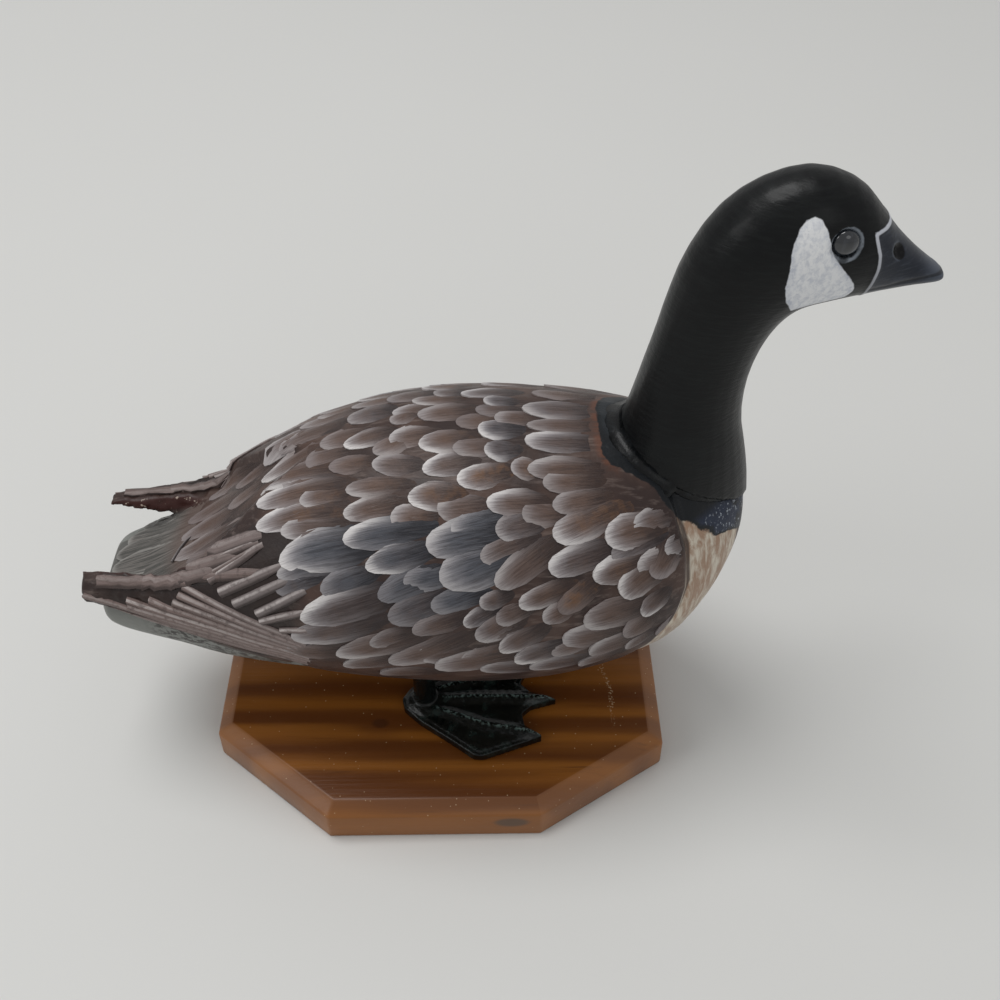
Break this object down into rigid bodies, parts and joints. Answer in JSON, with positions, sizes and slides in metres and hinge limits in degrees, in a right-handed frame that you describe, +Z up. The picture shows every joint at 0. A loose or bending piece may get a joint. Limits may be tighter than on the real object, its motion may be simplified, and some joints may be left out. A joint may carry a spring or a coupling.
{
  "type": "carved wooden goose on a plaque",
  "caption": "Carved and painted wooden goose with a black neck and a pale cheek patch, standing on webbed feet on an eight-sided varnished wooden plaque.",
  "frame": {"origin": "middle of the plaque's underside", "axes": "+X towards the bill, +Y to the goose's left, +Z up"},
  "size_m": [0.3299, 0.172, 0.2695],
  "materials": {
    "plaque": "orange-brown varnish, satin, with a paler chamfer",
    "feathers": "hand-painted grey-brown feathers with pale rims, cream breast, matt to satin",
    "black_paint": "satin black paint with an off-white cheek patch and a slate-blue bill",
    "eye": "glossy dark bead with a pale painted ring",
    "foot_paint": "glossy greenish-black paint over faceted wood"
  },
  "bodies": {
    "root": {"plaque": "plaque", "body": "feathers", "neck_and_head": "black_paint", "right_eye": "eye", "left_eye": "eye", "right_leg_and_foot": "foot_paint", "left_leg_and_foot": "foot_paint"}
  },
  "joints": []
}
